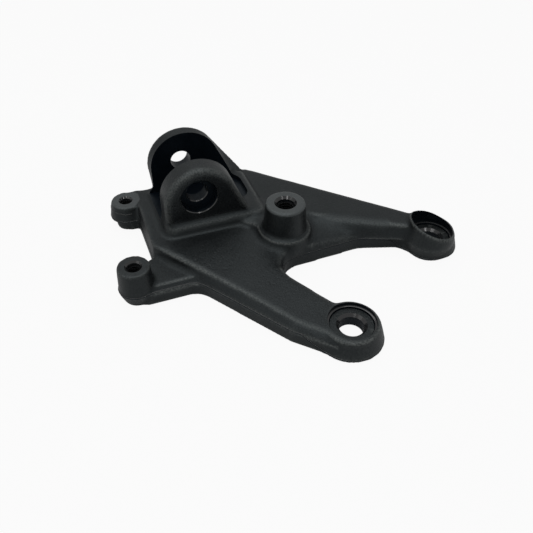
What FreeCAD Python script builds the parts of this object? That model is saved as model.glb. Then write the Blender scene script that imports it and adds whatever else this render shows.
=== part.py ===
import FreeCAD, Part
import math
import os
import re
import Sketcher

os.makedirs("parts", exist_ok=True)
doc = FreeCAD.newDocument("footrest_hanger")

# The lower frame bolt stands at the origin. X runs along the footrest fork's ears,
# Y along its pin towards the far ear, and Z up from the mounting face.
# All sizes are in millimetres and degrees.
SIZES = [
    # heights above the mounting face
    ("parting_z", 5.8),
    ("plate_z", 12.5),
    ("saddle_z", 12.8),
    ("seat_z", 15.2),
    ("slot_floor_z", 13.4),
    ("web_z", 7.5),
    ("pin_z", 26.4),
    ("stud_boss_z", 24.8),
    ("guard_boss_z", 15.5),
    ("lug_z", 12.0),
    ("bolt_floor_z", 6.0),
    ("lower_rim_z", 8.1),
    ("tool_over", 1.0),
    ("upper_rim_z", 12.4),
    ("draft_top_z", 13.4),
    # frame bolts
    ("bolt_radius", 4.5),
    ("bolt_mouth", 5.2),
    ("spot_radius", 8.6),
    ("lower_boss_x", -0.4),
    ("lower_boss_y", -0.3),
    ("lower_boss_radius", 12.1),
    ("lower_rim_radius", 10.1),
    ("lower_belt_z", 1.4),
    ("upper_x", 51.0),
    ("upper_y", 32.0),
    ("upper_foot_radius", 8.2),
    ("upper_boss_radius", 9.9),
    ("upper_rim_radius", 9.1),
    ("upper_boss_top_z", 16.5),
    # heel that widens the upper bolt's boss at its outer side
    ("heel_out", 2.2),
    ("heel_back", 1.1),
    ("heel_foot_radius", 9.6),
    ("heel_belt_radius", 10.2),
    ("heel_top_radius", 7.9),
    ("heel_belt_z", 1.2),
    ("heel_top_z", 9.0),
    # plate outline
    ("plate_left", -56.2),
    ("plate_corner_y", 58.0),
    ("back_round", 8.0),
    ("back_corner_x", -4.5),
    ("arm_neck_x", -20.8),
    ("arm_neck_y", 4.5),
    ("heel_x", -8.9),
    ("heel_y", -7.7),
    ("ridge_heel_x", -7.6),
    ("ridge_heel_y", -8.0),
    ("toe_x", 1.6),
    ("toe_y", 4.4),
    ("crotch_x", -18.1),
    ("crotch_y", 39.0),
    ("crotch_round", 8.9),
    ("upper_arm_x", 24.0),
    ("upper_arm_y", 40.8),
    ("upper_arm_round", 12.0),
    ("arm_front_in", 7.0),
    ("upper_neck_x", 39.4),
    ("upper_neck_y", 35.9),
    ("upper_neck_round", 6.0),
    ("upper_neck_in", 5.5),
    ("upper_neck_down", 5.4),
    ("arm_back_in", 4.0),
    ("arm_back_up", 9.7),
    ("web_round", 7.0),
    ("web_corner_x", -43.3),
    ("web_half", 6.2),
    ("web_shift", 2.6),
    ("neck_round", 4.0),
    ("shelf_start", 2.0),
    # how far the drafted walls lean in between the parting line and draft_top_z
    ("side_lean", 0.9),
    ("neck_lean_x", 6.9),
    ("neck_lean_y", 4.6),
    ("heel_lean_x", 4.0),
    ("heel_lean_y", 8.0),
    ("corner_lean", 0.4),
    ("crotch_lean", 2.0),
    ("web_lean", 1.8),
    # tapped bosses
    ("stud_x", -5.0),
    ("stud_y", 49.8),
    ("stud_boss_radius", 7.6),
    ("stud_foot_radius", 8.6),
    ("collar_radius", 10.2),
    ("collar_foot_radius", 11.0),
    ("collar_z", 13.2),
    ("stud_hole_radius", 3.32),
    ("stud_hole_depth", 21.0),
    ("guard_x", -65.4),
    ("guard_y", 44.8),
    ("guard_boss_radius", 6.0),
    ("guard_foot_radius", 6.6),
    ("guard_pad_radius", 7.0),
    ("guard_pad_foot", 4.9),
    ("guard_belt_z", 5.2),
    ("guard_hole_radius", 2.46),
    ("guard_hole_depth", 13.0),
    ("lug_x", -59.5),
    ("lug_y", 89.7),
    ("lug_radius", 5.5),
    ("lug_hole_radius", 2.07),
    ("lug_joint", 3.0),
    ("lug_step_z", 5.2),
    ("lug_foot_radius", 4.9),
    ("lug_belt_radius", 7.0),
    ("lug_top_radius", 5.9),
    ("mouth_chamfer", 0.75),
    ("stud_mouth_chamfer", 1.0),
    # footrest fork
    ("pin_x", -35.0),
    ("pin_radius", 4.1),
    ("ear_x", -34.2),
    ("ear_z", 23.5),
    ("ear_radius", 14.4),
    ("ear_lean", 23.5),
    ("far_x", -33.6),
    ("far_z", 24.2),
    ("far_radius", 14.6),
    ("far_round", 1.8),
    ("far_face_x", -33.2),
    ("far_face_radius", 14.2),
    ("far_face_lean", 24.0),
    ("near_face_y", 62.0),
    ("near_inner_y", 70.3),
    ("far_inner_y", 89.3),
    ("pin_head_radius", 7.1),
    ("pin_head_depth", 3.6),
    ("far_lean", 36.4),
    ("far_tuck", 6.5),
    ("slot_end_x", -11.3),
    ("slot_corner", 6.0),
    ("seat_left", -49.0),
    ("seat_right", -8.6),
    ("seat_front_y", 60.2),
    ("seat_spread", 1.8),
    ("seat_round", 4.0),
    ("seat_under", 1.0),
    ("slot_run", 8.0),
    # lower slopes of the top
    ("top_fall", 0.045),
    ("top_tilt", 0.02),
    ("arm_bearing", 33.6),
    ("crotch_top_x", -9.0),
    ("crotch_top_y", 38.0),
    ("crotch_top_z", 9.5),
    ("shelf_front_z", 7.3),
    ("shelf_back_z", 12.6),
    ("rim_fall", 0.33),
    ("rim_rise", 0.10),
    # saddle between the fork and the upper bolt
    ("saddle_x", 7.5),
    ("saddle_y", 55.2),
    ("saddle_bend_x", 15.0),
    ("saddle_bend_y", 48.2),
    ("saddle_bend", 9.0),
    ("saddle_end_x", 35.5),
    ("saddle_end_y", 37.0),
    ("saddle_spread", 1.6),
    ("saddle_in", 9.0),
    ("saddle_up", 6.0),
    # land that joins the seat's front to the stud boss's collar
    ("land_left", 15.5),
    ("land_up", 5.4),
    ("land_round", 5.0),
    # round of the near ear's outer edge, where the far one has the bevel far_round
    ("ear_round", 1.8),
]

sheet = doc.addObject("Spreadsheet::Sheet", "sizes")
for row, (alias, value) in enumerate(SIZES, start=1):
    sheet.set("A%d" % row, alias)
    sheet.set("B%d" % row, str(value))
    sheet.setAlias("B%d" % row, alias)
doc.recompute()
ALIASES = {alias for alias, value in SIZES}

# Two places nearer than this are the same one.
TOUCH = 0.01
# A box that trims a top is this many times as wide as the part.
WIDE = 4


def size(text):
    """Give the value of an expression in the sheet's aliases."""
    return float(sheet.evalExpression(bound(text)))


def bound(text):
    """Write an expression in aliases as one that reads the sheet."""
    return re.sub("[a-z_]+", lambda found: prefixed(found.group()), text)


def prefixed(word):
    return "sizes." + word if word in ALIASES else word


def origin_plane(body, role):
    """Find one of the body's own origin planes."""
    for feature in body.Origin.OriginFeatures:
        if feature.Role == role:
            return feature
    raise ValueError("no origin plane " + role)


def new_sketch(body, name, role, height):
    """Add a sketch on one of the body's planes, moved along the plane's normal."""
    sketch = body.newObject("Sketcher::SketchObject", name)
    sketch.AttachmentSupport = [(origin_plane(body, role), "")]
    sketch.MapMode = "FlatFace"
    sketch.setExpression("AttachmentOffset.Base.z", bound(height))
    return sketch


def add_outline(sketch, corners):
    """Draw a closed outline through corners of (x, y, radius), counter-clockwise.

    x, y and radius are expressions in the sheet's aliases. A corner without a
    radius stays sharp. Every corner has a point of its own that the two lines
    beside it run through, so the outline follows the sheet.
    """
    count = len(corners)
    spots = [FreeCAD.Vector(size(x), size(y), 0) for x, y, radius in corners]
    reach = []
    for i, (x, y, radius) in enumerate(corners):
        before = (spots[i - 1] - spots[i]).normalize()
        after = (spots[(i + 1) % count] - spots[i]).normalize()
        if radius is None:
            reach.append((spots[i], spots[i], None))
            continue
        r = size(radius)
        half = before.getAngle(after) / 2
        run = r / math.tan(half)
        middle = spots[i] + (before + after).normalize() * (r / math.sin(half))
        reach.append((spots[i] + before * run, spots[i] + after * run, (middle, r)))
    lines = []
    for i in range(count):
        ends = Part.LineSegment(reach[i][1], reach[(i + 1) % count][0])
        lines.append(sketch.addGeometry(ends, False))
    for i, (x, y, radius) in enumerate(corners):
        before, after = lines[i - 1], lines[i]
        if reach[i][2] is None:
            sketch.addConstraint(Sketcher.Constraint("Coincident", before, 2, after, 1))
            spot = (after, 1)
        else:
            middle, r = reach[i][2]
            first = reach[i][0] - middle
            last = reach[i][1] - middle
            turn_left = first.cross(last).z > 0
            begin, end = (first, last) if turn_left else (last, first)
            circle = Part.Circle(middle, FreeCAD.Vector(0, 0, 1), r)
            low = math.atan2(begin.y, begin.x)
            high = math.atan2(end.y, end.x)
            arc = sketch.addGeometry(Part.ArcOfCircle(circle, low, high), False)
            start, stop = (1, 2) if turn_left else (2, 1)
            sketch.addConstraint(Sketcher.Constraint("Tangent", before, 2, arc, start))
            sketch.addConstraint(Sketcher.Constraint("Tangent", arc, stop, after, 1))
            held = sketch.addConstraint(Sketcher.Constraint("Radius", arc, r))
            sketch.setExpression("Constraints[%d]" % held, bound(radius))
            point = sketch.addGeometry(Part.Point(spots[i]), True)
            sketch.addConstraint(Sketcher.Constraint("PointOnObject", point, 1, before))
            sketch.addConstraint(Sketcher.Constraint("PointOnObject", point, 1, after))
            spot = (point, 1)
        for way, text, value in (("DistanceX", x, spots[i].x), ("DistanceY", y, spots[i].y)):
            held = sketch.addConstraint(Sketcher.Constraint(way, -1, 1, spot[0], spot[1], value))
            sketch.setExpression("Constraints[%d]" % held, bound(text))


def new_body(name):
    body = doc.addObject("PartDesign::Body", name)
    body.Label = name
    return body


def pad(name, role, height, corners, length):
    """A prism of the outline."""
    body = new_body(name)
    sketch = new_sketch(body, name + "_outline", role, height)
    add_outline(sketch, corners)
    doc.recompute()
    feature = body.newObject("PartDesign::Pad", name + "_pad")
    feature.Profile = sketch
    feature.setExpression("Length", bound(length))
    doc.recompute()
    return body


def loft(name, role, sections):
    """A drafted block through outlines of as many corners each, at their heights."""
    body = new_body(name)
    sketches = []
    for number, (height, corners) in enumerate(sections, start=1):
        sketch = new_sketch(body, "%s_outline_%d" % (name, number), role, height)
        add_outline(sketch, corners)
        sketches.append(sketch)
    doc.recompute()
    feature = body.newObject("PartDesign::AdditiveLoft", name + "_loft")
    feature.Profile = sketches[0]
    feature.Sections = sketches[1:]
    feature.Ruled = True
    doc.recompute()
    return body


def fillet_edges(body, name, radius, chosen):
    """Round the edges of the body's tip that chosen(edge) picks."""
    base = body.Tip
    edges = ["Edge%d" % i for i, edge in enumerate(base.Shape.Edges, start=1) if chosen(edge)]
    feature = body.newObject("PartDesign::Fillet", name)
    feature.Base = (base, edges)
    feature.setExpression("Radius", bound(radius))
    doc.recompute()


def bind(thing, **texts):
    """Bind an object's sizes to the sheet."""
    for name, text in texts.items():
        path = "Placement.Base." + name if name in ("x", "y", "z") else name
        thing.setExpression(path, bound(text))


def cylinder(name, x, y, low, high, radius):
    """An upright cylinder from low to high."""
    thing = doc.addObject("Part::Cylinder", name)
    bind(thing, x=x, y=y, z=low, Radius=radius, Height="(%s) - (%s)" % (high, low))
    return thing


def cone(name, x, y, low, high, low_radius, high_radius):
    """An upright cone from low to high."""
    thing = doc.addObject("Part::Cone", name)
    bind(thing, x=x, y=y, z=low, Radius1=low_radius, Radius2=high_radius,
         Height="(%s) - (%s)" % (high, low))
    return thing


def pin_cylinder(name, near, far, radius):
    """A cylinder on the pin's axis between two places along Y."""
    thing = doc.addObject("Part::Cylinder", name)
    thing.Placement.Rotation = FreeCAD.Rotation(FreeCAD.Vector(1, 0, 0), -90)
    bind(thing, x="pin_x", y=near, z="pin_z", Radius=radius,
         Height="(%s) - (%s)" % (far, near))
    return thing


def fused(name, things):
    thing = doc.addObject("Part::MultiFuse", name)
    thing.Shapes = things
    doc.recompute()
    return thing


def cut(name, base, tool):
    thing = doc.addObject("Part::Cut", name)
    thing.Base = base
    thing.Tool = tool
    doc.recompute()
    return thing


def above_plane(name, origin, slope_x, slope_y):
    """A box over the plane z = origin.z + slope_x * dx + slope_y * dy, wider than the part."""
    reach = WIDE * (size("upper_x") - size("guard_x"))
    normal = FreeCAD.Vector(-slope_x, -slope_y, 1.0)
    turn = FreeCAD.Rotation(FreeCAD.Vector(0, 0, 1), normal)
    thing = doc.addObject("Part::Box", name)
    thing.Length = reach
    thing.Width = reach
    thing.Height = reach
    middle = turn.multVec(FreeCAD.Vector(-reach / 2, -reach / 2, 0))
    thing.Placement = FreeCAD.Placement(origin + middle, turn)
    return thing


def plane_through(first, second, third):
    """The slopes along X and Y of the plane through three points."""
    normal = (second - first).cross(third - first)
    return -normal.x / normal.z, -normal.y / normal.z


# The back wall of the plate lines up with the far side of the lug and the far ear.
BACK_Y = "lug_y + lug_radius"
BACK_TOP_Y = "lug_y + lug_radius - side_lean"

# The flange below the parting line takes in the web of the guard boss.
flange = pad("flange", "XY_Plane", "0", [
    ("heel_x", "heel_y", None),
    ("toe_x", "toe_y", None),
    ("crotch_x", "crotch_y", "crotch_round"),
    ("upper_arm_x", "upper_arm_y", "upper_arm_round"),
    ("upper_neck_x", "upper_neck_y", "upper_neck_round"),
    ("upper_x - upper_neck_in", "upper_y - upper_neck_down", None),
    ("upper_x - arm_back_in", "upper_y + arm_back_up", None),
    ("back_corner_x", BACK_Y, "back_round"),
    ("plate_left", BACK_Y, None),
    ("plate_left", "plate_corner_y", None),
    ("guard_x - web_shift", "guard_y + web_half", None),
    ("guard_x", "guard_y - web_half", "guard_pad_foot"),
    ("web_corner_x", "guard_y - web_half", "web_round"),
    ("arm_neck_x", "arm_neck_y", "neck_round"),
], "parting_z")

# Above the parting line the walls lean in. The front plate takes in the lower arm,
# whose outer flank leans more towards the bolt.
SHELF_X = "stud_x + shelf_start"
SHELF_Y = ("crotch_y + (upper_arm_y - crotch_y) * (stud_x + shelf_start - crotch_x)"
           " / (upper_arm_x - crotch_x)")
front_plate = loft("front_plate", "XY_Plane", [
    ("parting_z", [
        ("ridge_heel_x", "ridge_heel_y", None),
        ("toe_x", "toe_y", None),
        ("crotch_x", "crotch_y", "crotch_round"),
        (SHELF_X, SHELF_Y, None),
        (SHELF_X, "near_inner_y", None),
        ("stud_x", BACK_Y, None),
        ("plate_left", BACK_Y, None),
        ("plate_left", "plate_corner_y", None),
        ("arm_neck_x", "arm_neck_y", "neck_round"),
    ]),
    ("draft_top_z", [
        ("ridge_heel_x + heel_lean_x", "ridge_heel_y + heel_lean_y", None),
        ("toe_x - crotch_lean", "toe_y - side_lean", None),
        ("crotch_x - crotch_lean", "crotch_y + side_lean", "crotch_round"),
        (SHELF_X, SHELF_Y + " + side_lean", None),
        (SHELF_X, "near_inner_y", None),
        ("stud_x", BACK_TOP_Y, None),
        ("plate_left + side_lean", BACK_TOP_Y, None),
        ("plate_left + side_lean", "plate_corner_y + corner_lean", None),
        ("arm_neck_x + neck_lean_x", "arm_neck_y + neck_lean_y", "neck_round"),
    ]),
])

# The shelf runs along the upper arm's front, from the stud boss to the upper bolt.
shelf = loft("shelf", "XY_Plane", [
    ("parting_z", [
        (SHELF_X, SHELF_Y, None),
        ("upper_arm_x", "upper_arm_y", "upper_arm_round"),
        ("upper_neck_x", "upper_neck_y", "upper_neck_round"),
        ("upper_x - upper_neck_in", "upper_y - upper_neck_down", None),
        ("upper_x - arm_back_in", "upper_y + arm_back_up", None),
        (SHELF_X, "stud_y + saddle_in", None),
    ]),
    ("draft_top_z", [
        (SHELF_X, SHELF_Y + " + side_lean", None),
        ("upper_arm_x", "upper_arm_y + side_lean", "upper_arm_round"),
        ("upper_neck_x", "upper_neck_y + side_lean", "upper_neck_round"),
        ("upper_x - upper_neck_in", "upper_y - upper_neck_down + side_lean", None),
        ("upper_x - arm_back_in", "upper_y + arm_back_up - side_lean", None),
        (SHELF_X, "stud_y + saddle_in", None),
    ]),
])

# The saddle is the high ground between the fork, the stud boss and the upper bolt.
saddle = loft("saddle", "XY_Plane", [
    ("parting_z", [
        ("stud_x", "stud_y", None),
        ("saddle_x - saddle_spread", "saddle_y - saddle_spread", None),
        ("saddle_bend_x - saddle_spread", "saddle_bend_y - saddle_spread", "saddle_bend"),
        ("saddle_end_x - saddle_spread", "saddle_end_y - saddle_spread", None),
        ("upper_x - arm_front_in", "upper_y", None),
        ("upper_x - arm_back_in", "upper_y + arm_back_up", None),
        ("back_corner_x", BACK_Y, "back_round"),
        ("stud_x - saddle_in", BACK_Y, None),
        ("stud_x - saddle_in", "stud_y + saddle_up", None),
    ]),
    ("saddle_z", [
        ("stud_x", "stud_y", None),
        ("saddle_x", "saddle_y", None),
        ("saddle_bend_x", "saddle_bend_y", "saddle_bend"),
        ("saddle_end_x", "saddle_end_y", None),
        ("upper_x - arm_front_in", "upper_y", None),
        ("upper_x - arm_back_in", "upper_y + arm_back_up - side_lean", None),
        ("back_corner_x - side_lean", BACK_TOP_Y, "back_round"),
        ("stud_x - saddle_in", BACK_TOP_Y, None),
        ("stud_x - saddle_in", "stud_y + saddle_up", None),
    ]),
])

# The raised seat under the fork ends below the far ear.
seat = loft("seat", "XY_Plane", [
    ("parting_z", [
        ("seat_left - seat_spread", "seat_front_y - seat_spread", "seat_round"),
        ("seat_right + seat_spread", "seat_front_y - seat_spread", "seat_round"),
        ("seat_right + seat_spread", "far_inner_y + seat_under", None),
        ("seat_left - seat_spread", "far_inner_y + seat_under", None),
    ]),
    ("seat_z", [
        ("seat_left", "seat_front_y", "seat_round"),
        ("seat_right", "seat_front_y", "seat_round"),
        ("seat_right", "far_inner_y + seat_under", None),
        ("seat_left", "far_inner_y + seat_under", None),
    ]),
])


def ear_outline(x, z, radius, lean, tuck="0"):
    """An ear seen along the pin, on a plane whose second axis is Z.

    It has a round at (x, z), a left side that tucks in towards the foot and a right
    side that leans out. The two sides would meet at an apex above the round.
    """
    parts = {"x": x, "z": z, "radius": radius, "lean": lean, "tuck": tuck}
    left = "{x} - ({radius} - ({z} - parting_z) * sin({tuck})) / cos({tuck})"
    right = "{x} + ({radius} + ({z} - parting_z) * sin({lean})) / cos({lean})"
    apex_x = "{x} - {radius} * sin(({lean} + {tuck}) / 2) / sin(({lean} - {tuck}) / 2)"
    apex_z = "{z} + {radius} * cos(({lean} + {tuck}) / 2) / sin(({lean} - {tuck}) / 2)"
    return [
        (left.format(**parts), "parting_z", None),
        (right.format(**parts), "parting_z", None),
        (apex_x.format(**parts), apex_z.format(**parts), radius),
    ]


near_ear = pad("near_ear", "XZ_Plane", "0 - near_inner_y",
               ear_outline("ear_x", "ear_z", "ear_radius", "ear_lean"),
               "near_inner_y - near_face_y")
# The far ear grows towards its back, which has a bevel all round.
far_ear = loft("far_ear", "XZ_Plane", [
    ("0 - far_inner_y", ear_outline("far_face_x", "far_z", "far_face_radius", "far_face_lean")),
    ("far_round - lug_y - lug_radius",
     ear_outline("far_x", "far_z", "far_radius", "far_lean", "far_tuck")),
    ("0 - lug_y - lug_radius",
     ear_outline("far_x", "far_z", "(far_radius - far_round)", "far_lean", "far_tuck")),
])


def on_near_face(edge):
    """Pick the sides and the round of the near ear's outer face, not its foot."""
    middle = edge.CenterOfMass
    on_face = abs(middle.y - size("near_face_y")) < TOUCH
    return on_face and middle.z > size("parting_z") + TOUCH


fillet_edges(near_ear, "near_ear_round", "ear_round", on_near_face)

# Frame bolt bosses: below their widest height a foot, above it a cone up to the rim.
lower_foot = cylinder("lower_foot", "lower_boss_x", "lower_boss_y", "0", "lower_belt_z",
                      "lower_boss_radius")
lower_cone = cone("lower_cone", "lower_boss_x", "lower_boss_y", "lower_belt_z", "lower_rim_z",
                  "lower_boss_radius", "lower_rim_radius")
upper_foot = cone("upper_foot", "upper_x", "upper_y", "0", "parting_z",
                  "upper_foot_radius", "upper_boss_radius")
upper_cone = cone("upper_cone", "upper_x", "upper_y", "parting_z", "upper_boss_top_z",
                  "upper_boss_radius", "upper_rim_radius")
HEEL_X, HEEL_Y = "upper_x + heel_out", "upper_y + heel_back"
upper_heel = [
    cone("heel_foot", HEEL_X, HEEL_Y, "0", "heel_belt_z", "heel_foot_radius",
         "heel_belt_radius"),
    cone("heel_cone", HEEL_X, HEEL_Y, "heel_belt_z", "heel_top_z", "heel_belt_radius",
         "heel_top_radius"),
]

# Tapped bosses.
collar = cone("collar", "stud_x", "stud_y", "parting_z", "collar_z",
              "collar_foot_radius", "collar_radius")
stud_boss = cone("stud_boss", "stud_x", "stud_y", "collar_z", "stud_boss_z",
                 "stud_foot_radius", "stud_boss_radius")
# A land at the collar's height takes the seat's front edge round to the collar.
land = loft("land", "XY_Plane", [
    ("parting_z", [
        ("stud_x - collar_foot_radius", "stud_y", None),
        ("stud_x", "stud_y", None),
        ("stud_x", "seat_front_y", None),
        ("stud_x - collar_foot_radius + collar_radius - land_left", "seat_front_y", None),
        ("stud_x - collar_foot_radius", "stud_y + land_up", "land_round"),
    ]),
    ("collar_z", [
        ("stud_x - collar_radius", "stud_y", None),
        ("stud_x", "stud_y", None),
        ("stud_x", "seat_front_y", None),
        ("stud_x - land_left", "seat_front_y", None),
        ("stud_x - collar_radius", "stud_y + land_up", "land_round"),
    ]),
])
guard_pad = cone("guard_pad", "guard_x", "guard_y", "0", "guard_belt_z",
                 "guard_pad_foot", "guard_pad_radius")
guard_belt = cone("guard_belt", "guard_x", "guard_y", "guard_belt_z", "parting_z",
                  "guard_pad_radius", "guard_foot_radius")
guard_boss = cone("guard_boss", "guard_x", "guard_y", "parting_z", "guard_boss_z",
                  "guard_foot_radius", "guard_boss_radius")
lug_round = cone("lug_round", "lug_x", "lug_y", "0", "lug_z", "lug_foot_radius", "lug_radius")
lug_block = doc.addObject("Part::Box", "lug_block")
bind(lug_block, x="lug_x", y="lug_y - lug_radius", z="0",
     Length="plate_left - lug_x + lug_joint", Width="lug_radius * 2", Height="lug_z")
# The lug's upper half is wider, down to a step near the parting line.
lug_belt = cone("lug_belt", "lug_x", "lug_y", "lug_step_z", "lug_z",
                "lug_belt_radius", "lug_top_radius")
lug_neck = loft("lug_neck", "XY_Plane", [
    ("lug_step_z", [
        ("lug_x", "lug_y - lug_belt_radius", None),
        ("plate_left + lug_joint", "lug_y - lug_belt_radius", None),
        ("plate_left + lug_joint", "lug_y", None),
        ("lug_x", "lug_y", None),
    ]),
    ("lug_z", [
        ("lug_x", "lug_y - lug_top_radius", None),
        ("plate_left + lug_joint", "lug_y - lug_top_radius", None),
        ("plate_left + lug_joint", "lug_y", None),
        ("lug_x", "lug_y", None),
    ]),
])

# The web between the guard boss and the plate stands a little above the parting line.
web = pad("web", "XY_Plane", "0", [
    ("guard_x", "guard_y - web_half + web_lean", None),
    ("web_corner_x + lug_joint", "guard_y - web_half + web_lean", None),
    ("plate_left + lug_joint", "plate_corner_y", None),
    ("plate_left + side_lean", "plate_corner_y - side_lean", None),
    ("guard_x - web_shift", "guard_y + web_half - side_lean", None),
], "web_z")

# The top falls towards the lower bolt. The bearing is the lower arm's, from the -Y axis.
bearing = math.radians(size("arm_bearing"))
along = FreeCAD.Vector(math.sin(bearing), -math.cos(bearing), 0)
across = FreeCAD.Vector(math.cos(bearing), math.sin(bearing), 0)
slope = along * -size("top_fall") + across * size("top_tilt")
over_top = above_plane("over_top", FreeCAD.Vector(0, 0, size("lower_rim_z")), slope.x, slope.y)
over_plate = above_plane("over_plate", FreeCAD.Vector(0, 0, size("plate_z")), 0, 0)
front_top = cut("front_top", front_plate, fused("front_cutters", [over_top, over_plate]))

# The shelf falls towards the arm's front wall and towards the upper bolt.
crotch_point = FreeCAD.Vector(size("crotch_top_x"), size("crotch_top_y"), size("crotch_top_z"))
arm_point = FreeCAD.Vector(size("upper_arm_x"), size("upper_arm_y"), size("shelf_front_z"))
saddle_point = FreeCAD.Vector(size("saddle_x"), size("saddle_y"), size("shelf_back_z"))
shelf_slopes = plane_through(crotch_point, arm_point, saddle_point)
over_shelf = above_plane("over_shelf", arm_point, *shelf_slopes)
over_saddle = above_plane("over_saddle", FreeCAD.Vector(0, 0, size("saddle_z")), 0, 0)
shelf_top = cut("shelf_top", shelf, fused("shelf_cutters", [over_shelf, over_saddle]))

# The rim of the upper bolt's boss is inclined.
rim_point = FreeCAD.Vector(size("upper_x"), size("upper_y"), size("upper_rim_z"))
over_rim = above_plane("over_rim", rim_point, -size("rim_fall"), size("rim_rise"))
upper_boss = cut("upper_boss", fused("upper_parts", [upper_foot, upper_cone] + upper_heel), over_rim)

casting = fused("casting", [
    flange, front_top, shelf_top, saddle, seat, near_ear, far_ear, lower_foot, lower_cone,
    upper_boss, collar, land, stud_boss, guard_pad, guard_belt, guard_boss, lug_round, lug_block,
    lug_belt, lug_neck, web,
])

# Machining: the slot between the ears runs out to the left.
slot = pad("slot", "XY_Plane", "slot_floor_z", [
    ("plate_left - slot_run", "near_inner_y", None),
    ("slot_end_x", "near_inner_y", "slot_corner"),
    ("slot_end_x", "far_inner_y", "slot_corner"),
    ("plate_left - slot_run", "far_inner_y", None),
], "far_z + far_radius")


def bolt_hole(name, x, y):
    """A frame bolt's spot face, chamfer and bore, with some length over at both ends."""
    mouth_z = "bolt_floor_z - (bolt_mouth - bolt_radius)"
    return [
        cylinder(name + "_spot", x, y, "bolt_floor_z", "upper_boss_top_z", "spot_radius"),
        cylinder(name + "_bore", x, y, "0 - tool_over", "bolt_floor_z + tool_over",
                 "bolt_radius"),
        cone(name + "_mouth", x, y, mouth_z, "bolt_floor_z", "bolt_radius", "bolt_mouth"),
    ]


def tapping_hole(name, x, y, low, top, radius, chamfer):
    """A hole at a thread's root radius, with a chamfered mouth at the top."""
    mouth_low = "%s - %s" % (top, chamfer)
    mouth_radius = "%s + %s" % (radius, chamfer)
    return [
        cylinder(name + "_hole", x, y, low, top, radius),
        cone(name + "_mouth", x, y, mouth_low, top, radius, mouth_radius),
    ]


tools = bolt_hole("lower", "0", "0") + bolt_hole("upper", "upper_x", "upper_y")
tools += tapping_hole("stud", "stud_x", "stud_y", "stud_boss_z - stud_hole_depth", "stud_boss_z",
                      "stud_hole_radius", "stud_mouth_chamfer")
tools += tapping_hole("guard", "guard_x", "guard_y", "guard_boss_z - guard_hole_depth",
                      "guard_boss_z", "guard_hole_radius", "mouth_chamfer")
tools += tapping_hole("lug", "lug_x", "lug_y", "0 - tool_over", "lug_z", "lug_hole_radius",
                      "mouth_chamfer")

# The pin's bore goes through both ears. Its head sits in the near one.
tools.append(pin_cylinder("pin_bore", "near_face_y - tool_over", BACK_Y + " + tool_over",
                          "pin_radius"))
tools.append(pin_cylinder("pin_head", "near_face_y - tool_over", "near_face_y + pin_head_depth",
                          "pin_head_radius"))

hanger = cut("hanger", casting, fused("machining", [slot] + tools))
hanger.Label = "footrest_hanger"

for thing in doc.Objects:
    if "Invalid" in thing.State or "Error" in thing.State:
        raise RuntimeError(thing.Name + " is in a bad state: " + str(thing.State))
if hanger.Shape.isNull() or not hanger.Shape.isValid():
    raise RuntimeError("the hanger's shape isn't valid")
if len(hanger.Shape.Solids) != 1:
    raise RuntimeError("the hanger isn't one solid")
hanger.Shape.exportStep("parts/" + hanger.Label + ".step")
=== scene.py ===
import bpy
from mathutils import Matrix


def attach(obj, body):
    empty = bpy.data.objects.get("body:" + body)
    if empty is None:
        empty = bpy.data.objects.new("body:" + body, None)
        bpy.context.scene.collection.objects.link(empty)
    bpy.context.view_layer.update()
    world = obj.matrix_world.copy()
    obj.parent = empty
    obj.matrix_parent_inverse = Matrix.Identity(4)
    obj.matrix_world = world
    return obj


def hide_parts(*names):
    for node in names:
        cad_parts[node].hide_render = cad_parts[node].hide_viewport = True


bl_info = {
    "name": "Footrest Hanger",
    "version": (1, 0, 0),
    "blender": (4, 5, 0),
    "location": "3D View > Sidebar > Hanger",
    "description": "Builds the cast footrest hanger with its machined seats and threads",
    "category": "Object",
}

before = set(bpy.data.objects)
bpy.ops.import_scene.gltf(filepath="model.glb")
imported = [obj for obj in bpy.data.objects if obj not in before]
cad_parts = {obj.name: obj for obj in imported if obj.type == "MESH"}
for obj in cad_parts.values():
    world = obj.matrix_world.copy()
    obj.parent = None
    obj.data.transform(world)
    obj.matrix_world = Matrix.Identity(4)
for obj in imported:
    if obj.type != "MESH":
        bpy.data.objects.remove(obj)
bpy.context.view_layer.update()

import math
from collections import namedtuple

import bmesh
import bpy
import numpy as np
from bpy.props import FloatProperty, FloatVectorProperty, IntProperty, PointerProperty
from mathutils import Matrix, Vector, noise

NODE = "footrest_hanger"
BODY = "root"
MM = 0.001

# Sizes of the hanger in millimetres. The lower frame bolt stands at the origin.
PARTING_Z = 5.8
BOLT_FLOOR_Z = 6.0
BOLT_RADIUS = 4.5
BOLT_MOUTH = 5.5
BOLT_CHAMFER = 1.0
SPOT_RADIUS = 8.6
SPOT_LEDGE = 0.6
LOWER_RIM_Z = 8.1
UPPER_BOLT = (51.0, 32.0)
UPPER_RIM_Z = 12.4
RIM_FALL = 0.33
RIM_RISE = 0.10
STUD = (-5.0, 49.8)
STUD_Z = 24.8
STUD_RADIUS = 7.6
GUARD = (-65.4, 44.8)
GUARD_Z = 15.5
GUARD_RADIUS = 6.0
LUG = (-59.5, 89.7)
LUG_Z = 12.0
LUG_RADIUS = 5.5
PIN_X = -35.0
PIN_Z = 26.4
PIN_RADIUS = 4.1
PIN_HEAD_RADIUS = 7.1
PIN_HEAD_DEPTH = 3.6
NEAR_FACE_Y = 62.0
NEAR_INNER_Y = 70.3
FAR_INNER_Y = 89.3
FAR_FACE_Y = LUG[1] + LUG_RADIUS
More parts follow.
